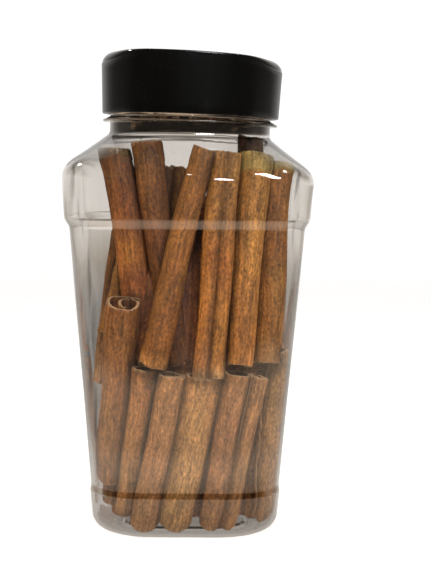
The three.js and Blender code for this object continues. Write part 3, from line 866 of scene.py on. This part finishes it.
class Graph:
    """The shader nodes of a material or the world. A value is a number, a colour or a node's output."""

    def __init__(self, owner):
        owner.use_nodes = True
        self.nodes = owner.node_tree.nodes
        self.links = owner.node_tree.links

    def new(self, kind):
        return self.nodes.new("ShaderNode" + kind)

    def fill(self, node, values):
        """Gives a node's sockets their values. The socket holds a number or a colour itself."""
        for name, value in values.items():
            socket = node.inputs[name]
            if isinstance(value, (int, float)):
                socket.default_value = value
            elif isinstance(value, tuple):
                socket.default_value = (*value, 1) if socket.type == "RGBA" else value
            else:
                self.links.new(value, socket)
        return node

    def made(self, kind, output, values):
        """The output of a new node whose sockets have these values."""
        return self.fill(self.new(kind), values).outputs[output]

    def attribute(self, name, output):
        node = self.new("Attribute")
        node.attribute_name = name
        return node.outputs[output]

    def parts(self, vector):
        """The X, Y and Z of a vector, by their names."""
        return self.fill(self.new("SeparateXYZ"), {0: vector}).outputs

    def noise(self, vector, stretch, size, detail, roughness=0.5):
        """Noise of a vector whose three parts are each stretched."""
        mapped = self.made("Mapping", "Vector", {"Vector": vector, "Scale": stretch})
        return self.made("TexNoise", "Fac", {
            "Vector": mapped, "Scale": size, "Detail": detail, "Roughness": roughness,
        })

    def operate(self, kind, operation, output, values):
        node = self.new(kind)
        node.operation = operation
        return self.fill(node, values).outputs[output]

    def math(self, operation, *values):
        return self.operate("Math", operation, 0, dict(enumerate(values)))

    def ranged(self, value, low, high, to_low=0, to_high=1):
        """A value between low and high, moved to between two others and held there."""
        return self.made("MapRange", "Result", {
            "Value": value, "From Min": low, "From Max": high, "To Min": to_low, "To Max": to_high,
        })

    def blend(self, factor, first, second, kind="MIX"):
        """The first colour where the factor is 0, and the second, or their product, where it is 1."""
        node = self.new("Mix")
        node.data_type = "RGBA"
        node.blend_type = kind
        node.clamp_factor = True
        return self.fill(node, {"Factor": factor, 6: first, 7: second}).outputs[2]

    def fade(self, value, low, high, first, second):
        """The first colour where a value is low and the second where it is high."""
        return self.blend(self.ranged(value, low, high), first, second)

    def ramp(self, value, stops):
        """A colour that follows (place, colour) stops of a value."""
        reach = stops[-1][0]
        node = self.fill(self.new("ValToRGB"), {"Fac": self.ranged(value, 0, reach)})
        elements = node.color_ramp.elements
        for place, _ in stops[2:]:
            elements.new(place / reach)
        for element, (place, colour) in zip(elements, stops):
            element.position = place / reach
            element.color = (*colour, 1)
        return node.outputs["Color"]

    def bump(self, height, strength, distance):
        return self.made("Bump", "Normal", {"Height": height, "Strength": strength, "Distance": distance})

    def choose(self, factor, first, second):
        """The first shader where the factor is 0 and the second where it is 1."""
        return self.made("MixShader", 0, {0: factor, 1: first, 2: second})

    def glow(self, colour, strength):
        return self.made("Emission", 0, {"Color": colour, "Strength": strength})

    def surface(self, shader):
        self.fill(self.nodes["Material Output"], {"Surface": shader})


def new_material(name):
    material = bpy.data.materials.new(name)
    graph = Graph(material)
    return material, graph, graph.nodes["Principled BSDF"]


def bark_material():
    material, graph, shader = new_material("cinnamon_bark")
    grain = graph.attribute("grain", "Vector")
    fibre = graph.noise(grain, (1.0, 0.13, 1.0), 1.15, 3.0, 0.65)
    fine = graph.noise(grain, (1.0, 0.5, 1.0), 1.5, 2.0, 0.7)
    speck = graph.noise(grain, (1.0, 0.8, 1.0), 1.0, 2.0, 0.6)
    streak = graph.noise(grain, (1.0, 0.03, 1.0), 0.7, 2.0)
    blotch = graph.noise(grain, (1.0, 0.5, 1.0), 0.20, 3.0, 0.6)
    flush = graph.noise(grain, (0.8, 0.4, 1.3), 0.13, 2.0)
    thread = graph.noise(grain, (1.0, 0.012, 1.0), 1.3, 1.0)

    # Each layer's lows and highs, and how light they leave the bark. The last one makes dark pits.
    layers = [
        (fibre, 0.34, 0.66, 0.66, 1.36),
        (fine, 0.32, 0.68, 0.61, 1.42),
        (speck, 0.34, 0.66, 0.84, 1.16),
        (streak, 0.34, 0.66, 0.80, 1.20),
        (blotch, 0.36, 0.64, 0.78, 1.20),
        (thread, 0.66, 0.74, 1.0, 1.30),
        (speck, 0.30, 0.36, 0.60, 1.0),
    ]
    light = 1.0
    for layer in layers:
        light = graph.math("MULTIPLY", light, graph.ranged(*layer))

    hue = graph.attribute("hue", "Color")
    red = graph.blend(1.0, hue, (1.03, 0.95, 0.88), "MULTIPLY")
    gold = graph.blend(1.0, hue, (1.01, 1.01, 0.95), "MULTIPLY")
    colour = graph.fade(flush, 0.36, 0.64, gold, red)
    pale = graph.blend(0.62, colour, (0.50, 0.32, 0.17))
    colour = graph.blend(graph.attribute("cut", "Fac"), colour, pale)
    relief = graph.math("ADD", fibre, graph.math("MULTIPLY", fine, 0.6))
    relief = graph.math("ADD", relief, graph.math("MULTIPLY", speck, 0.5))
    graph.fill(shader, {
        "Base Color": graph.operate("VectorMath", "SCALE", "Vector", {0: colour, "Scale": light}),
        "Roughness": graph.ranged(fine, 0.3, 0.7, 0.66, 0.88),
        "Specular IOR Level": 0.25,
        "Normal": graph.bump(relief, 0.8, 0.0003),
    })
    return material


def glass_material():
    material, graph, shader = new_material("clear_plastic")
    place = graph.new("TexCoord").outputs["Object"]
    height = graph.parts(place)["Z"]
    smear = graph.noise(place, (1, 1, 0.5), 60, 3.0)
    ripple = graph.noise(place, (1, 1, 0.35), 90, 1.0)
    ripple_strength = graph.ranged(height, 0.100, 0.118, 0.07, 0.012)

    # The neck's wall is tinted dark with a few lighter spots: painted shade and painted glints for the dark
    # underside of the cap that it shows, with a darker painted line at its foot. The flange is tinted a
    # little brown, a painted reflection of the sticks, and the step over the heel is tinted brown, a painted
    # shade for the dark ring it shows.
    foot, flange = NECK_FOOT_Z * MM, FLANGE_Z * MM
    heel, heel_half = (HEEL_Z + PANEL_FOOT_Z) / 2 * MM, (PANEL_FOOT_Z - HEEL_Z) / 2 * MM
    glints = graph.noise(place, (1, 1, 4.0), 110, 2.0)
    dark = graph.fade(glints, 0.60, 0.66, (0.13, 0.12, 0.11), (0.62, 0.46, 0.33))
    tint = graph.fade(height, foot, foot + 0.001, (0.965, 0.96, 0.95), dark)
    tint = graph.fade(height, flange, flange + 0.0002, tint, (0.80, 0.70, 0.60))
    tint = graph.blend(graph.math("COMPARE", height, foot - 0.0012, 0.0003), tint, (0.30, 0.29, 0.29))
    tint = graph.blend(graph.math("COMPARE", height, heel, heel_half), tint, (0.74, 0.66, 0.56))
    graph.fill(shader, {
        "Base Color": tint,
        "Transmission Weight": 1.0,
        "IOR": 1.5,
        "Roughness": graph.ranged(smear, 0.4, 0.75, 0.0, 0.03),
        "Normal": graph.bump(ripple, ripple_strength, 0.0004),
    })

    # To light and shadow the jar is simply clear.
    clear = graph.made("BsdfTransparent", 0, {"Color": (0.93, 0.925, 0.915)})
    path = graph.new("LightPath").outputs
    soft = graph.choose(path["Is Diffuse Ray"], shader.outputs[0], clear)
    graph.surface(graph.choose(path["Is Shadow Ray"], soft, clear))
    return material


def cap_material():
    material, graph, shader = new_material("black_plastic")
    place = graph.new("TexCoord").outputs["Object"]
    texture = graph.noise(place, (1, 1, 1), 1500, 2.0, 0.6)
    scuff = graph.noise(place, (1, 1, 0.25), 90, 4.0, 0.6)
    gloss = graph.attribute("gloss", "Fac")
    colour = graph.fade(scuff, 0.4, 0.7, (0.0022, 0.0021, 0.0019), (0.0036, 0.0033, 0.0030))
    satin = graph.ranged(scuff, 0.3, 0.7, 0.23, 0.29)
    polished = graph.math("MULTIPLY", gloss, -0.19)
    graph.fill(shader, {
        "Base Color": colour,
        "Specular IOR Level": 0.22,
        "Roughness": graph.math("ADD", satin, polished),
        "Normal": graph.bump(texture, graph.ranged(gloss, 0.0, 1.0, 0.35, 0.03), 0.00006),
    })
    return material


# ---------------- The floor, the light and the surroundings ----------------

FLOOR_RADIUS = 1.6
TABLE_GLOW = 3
ROOM_DARK = (0.035, 0.030, 0.025)
# How bright the table behind the jar is at distances from it, in metres.
TABLE_BEHIND = [
    (0.02, 0.34), (0.085, 0.50), (0.17, 0.32), (0.28, 0.20), (0.43, 0.27), (0.57, 0.17), (1.1, 0.30),
]


def make_floor():
    mesh = bpy.data.meshes.new("floor")
    count = 96
    angles = np.arange(count) * TAU / count
    points = [(0, 0, 0)] + [(FLOOR_RADIUS * math.cos(a), FLOOR_RADIUS * math.sin(a), 0) for a in angles]
    mesh.from_pydata(points, [], [(0, 1 + k, 1 + (k + 1) % count) for k in range(count)])
    floor = add_object("floor", mesh)
    material, graph, shader = new_material("floor")
    mesh.materials.append(material)
    path = graph.new("LightPath").outputs
    graph.fill(shader, {
        "Base Color": (0.72, 0.71, 0.70),
        "Roughness": 0.9,
        "Specular IOR Level": 0.0,
        "Emission Color": (1, 0.98, 0.96),
        "Emission Strength": graph.ranged(path["Is Camera Ray"], 0, 1, 0.05, 0.62),
    })
    place = graph.new("TexCoord").outputs["Object"]
    far = graph.operate("VectorMath", "LENGTH", "Value", {0: place})

    # What the plastic shows of the table: in front the bright sheet that the jar stands on, with a
    # dark floor beyond its edge, and behind it, or straight through it, a dimmer, uneven table. Close to
    # the jar the sheet is dark, both seen through the plastic and mirrored in it: a painted shadow of the
    # jar.
    dark = tuple(c / TABLE_GLOW for c in ROOM_DARK)
    before = graph.ramp(far, [
        (0.0, (0.13, 0.12, 0.11)), (0.052, (0.14, 0.13, 0.12)), (0.068, (0.34, 0.30, 0.26)),
        (0.105, (0.44, 0.345, 0.26)), (0.215, (0.44, 0.345, 0.26)), (0.265, dark), (FLOOR_RADIUS, dark),
    ])
    behind = graph.ramp(far, [
        (spot, tuple(level * tone / TABLE_GLOW for tone in (1, 0.94, 0.87))) for spot, level in TABLE_BEHIND
    ])
    straight = graph.ranged(path["Glossy Depth"], 0, 1, 1, 0)
    straight = graph.math("MULTIPLY", straight, graph.ranged(far, 0.14, 0.22))
    facing = graph.ranged(graph.parts(place)["Y"], -0.05, 0.01)
    facing = graph.math("MAXIMUM", facing, straight)
    through = graph.glow(graph.blend(facing, before, behind), TABLE_GLOW)
    mirrored_before = graph.ramp(far, [
        (0.0, (0.13, 0.10, 0.07)), (0.080, (0.15, 0.115, 0.08)), (0.096, (0.58, 0.455, 0.33)),
        (0.112, (0.58, 0.455, 0.33)), (0.128, (0.26, 0.205, 0.155)), (0.215, (0.26, 0.205, 0.155)),
        (0.28, dark), (FLOOR_RADIUS, dark),
    ])
    mirrored = graph.glow(graph.blend(facing, mirrored_before, (0.27, 0.25, 0.225)), TABLE_GLOW)
    seen = graph.choose(path["Is Glossy Ray"], shader.outputs[0], mirrored)
    seen = graph.choose(path["Is Transmission Ray"], seen, through)
    # Towards its edge the floor fades into the surroundings.
    open_air = graph.made("BsdfTransparent", 0, {})
    graph.surface(graph.choose(graph.ranged(far, 0.8, 1.5), seen, open_air))


def area_light(name, place, target, size, power, colour=(1, 1, 1), only_mirrored=False):
    data = bpy.data.lights.new(name, "AREA")
    data.shape = "ELLIPSE" if only_mirrored else "RECTANGLE"
    data.size, data.size_y = size
    data.energy = power
    data.color = colour
    light = add_object(name, data)
    light.location = place
    light.rotation_euler = (Vector(target) - Vector(place)).to_track_quat("-Z", "Y").to_euler()
    light.visible_camera = False
    light.visible_glossy = only_mirrored
    light.visible_transmission = False
    light.visible_diffuse = not only_mirrored


def make_surroundings():
    """A white studio, which the plastic shows as a pale backdrop and mirrors as a darker room."""
    world = bpy.data.worlds.new("studio")
    scene.world = world
    graph = Graph(world)
    path = graph.new("LightPath").outputs
    direction = graph.parts(graph.new("TexCoord").outputs["Generated"])
    height = direction["Z"]
    ahead = graph.ranged(direction["Y"], -0.15, 0.15)
    paper = graph.fade(height, -0.07, -0.03, (0.38, 0.33, 0.27), (0.80, 0.75, 0.70))
    beyond = graph.fade(height, 0.25, 0.5, paper, ROOM_DARK)
    straight = graph.ranged(path["Glossy Depth"], 0, 1, 1, 0)
    through = graph.blend(graph.math("MAXIMUM", ahead, straight), ROOM_DARK, beyond)
    side = graph.fade(direction["Y"], 0.55, 0.85, (0.22, 0.205, 0.19), (0.80, 0.77, 0.74))
    side = graph.fade(height, 0.35, 0.7, side, (0.04, 0.038, 0.035))
    mirrored = graph.blend(ahead, ROOM_DARK, side)
    colour = graph.blend(path["Is Glossy Ray"], (0.28, 0.276, 0.27), mirrored)
    colour = graph.blend(path["Is Transmission Ray"], colour, through)
    colour = graph.blend(path["Is Camera Ray"], colour, (1.05, 1.05, 1.05))
    graph.fill(graph.nodes["Background"], {"Color": colour})


def make_lights():
    area_light("key", (0.10, -0.75, 0.85), (0, 0, 0.08), (0.6, 0.45), 8.0)
    area_light("top", (0.0, 0.1, 1.1), (0, 0, 0.1), (0.9, 0.9), 4.5)
    area_light("left", (-0.60, -0.10, 0.30), (0, 0, 0.15), (0.25, 0.5), 1.2)
    area_light("right", (0.55, -0.20, 0.30), (0, 0, 0.15), (0.35, 0.5), 0.8, (0.85, 0.93, 1))
    # These only show as streaks on the shoulder and as glints on the cap's rim.
    for name, place, target, size, power in (
        ("softbox", (0.25, -0.56, 0.65), (0.03, -0.04, 0.13), (0.36, 0.36), 16.0),
        ("lamp_far", (0.0135, -0.65, 0.52), (0.006, -0.04, 0.13), (0.006, 0.05), 0.02),
        ("lamp_near", (0.0314, -0.65, 0.30), (0.014, -0.04, 0.13), (0.014, 0.08), 0.12),
        ("lamp_left", (-0.43, 0.64, 0.78), (-0.02, 0, 0.17), (0.08, 0.035), 1.2),
        ("lamp_right", (0.43, 0.41, 0.97), (0.02, 0, 0.17), (0.06, 0.035), 0.9),
    ):
        area_light(name, place, target, size, power, only_mirrored=True)


# ---------------- Everything together ----------------

make_camera()
make_jar(glass_material())
make_cap(cap_material())
bark = bark_material()
make_sticks(bark)
make_core(bark)
make_floor()
make_surroundings()
make_lights()

scene.view_settings.view_transform = "Standard"
cycles = scene.cycles
cycles.use_denoising = True
cycles.max_bounces = 24
cycles.transmission_bounces = 20
cycles.glossy_bounces = 6
cycles.transparent_max_bounces = 24
cycles.caustics_reflective = False
cycles.caustics_refractive = False
cycles.blur_glossy = 0.3
cycles.sample_clamp_indirect = 6
